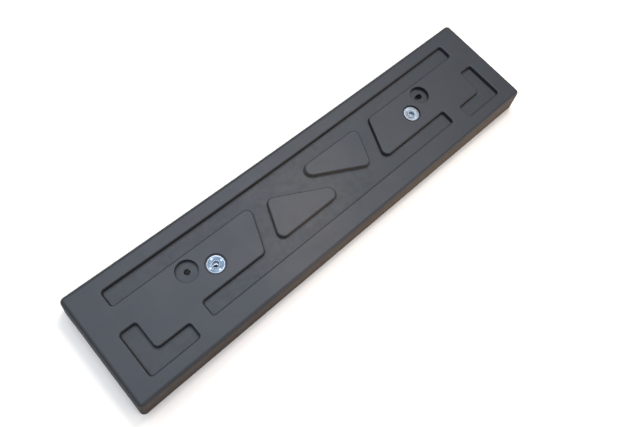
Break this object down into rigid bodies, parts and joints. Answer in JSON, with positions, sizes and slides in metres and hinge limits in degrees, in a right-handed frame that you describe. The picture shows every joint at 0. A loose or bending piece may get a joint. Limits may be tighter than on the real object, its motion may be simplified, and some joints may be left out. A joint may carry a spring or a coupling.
{
  "type": "number plate holder",
  "caption": "Moulded black cover that carries a vehicle's number plate: dished face with a pressed relief, hollow open back, countersunk socket screws and plate screw holes.",
  "frame": {"origin": "middle of the open back rim, on the plane the holder lies or is screwed down on", "axes": "+Z out of the front face, +X along the plate's length, +Y towards the upper long edge"},
  "size_m": [0.525, 0.1232, 0.0313],
  "materials": {
    "black_plastic": "fine moulded grain, satin",
    "zinc_steel": "bright bluish zinc plating, turned marks on the head"
  },
  "bodies": {
    "root": {"holder_panel": "black_plastic", "fixing_screws": "zinc_steel"}
  },
  "joints": []
}
